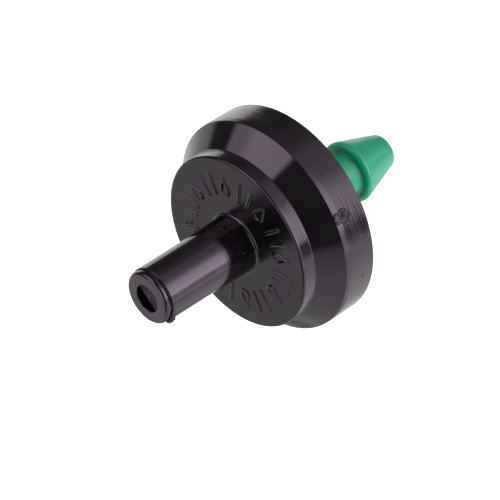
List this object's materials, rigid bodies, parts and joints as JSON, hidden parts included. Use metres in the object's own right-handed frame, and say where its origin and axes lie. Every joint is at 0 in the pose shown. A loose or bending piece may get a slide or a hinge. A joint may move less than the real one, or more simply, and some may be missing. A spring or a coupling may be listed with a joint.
{
  "type": "drip emitter",
  "caption": "Button drip emitter for pipe: barbed inlet, snap-closed round body with a labyrinth and a floating silicone diaphragm, and a straight outlet spigot.",
  "frame": {"origin": "centre of the seat where the barb's collar rests on the pipe wall", "axes": "+Z along the axis of revolution, out of the pipe and towards the outlet; the stub of the moulding gate on the rim is at 253 degrees from +X, counted towards +Y"},
  "size_m": [0.02, 0.02, 0.0288],
  "materials": {
    "cover_plastic": "black acetal, satin gloss, with fine moulding marks",
    "base_plastic": "green acetal, slightly translucent, satin",
    "insert_plastic": "green acetal, matt",
    "silicone": "translucent off-white silicone"
  },
  "bodies": {
    "housing": {"outlet_cover": "cover_plastic", "labyrinth_disc": "insert_plastic", "inlet_filter": "insert_plastic", "inlet_base": "base_plastic"},
    "diaphragm": {"diaphragm": "silicone"}
  },
  "joints": [
    {"name": "diaphragm_lift", "type": "slide", "parent": "housing", "child": "diaphragm", "axis": [0, 0, 1], "range_m": [0, 0.00028]}
  ]
}
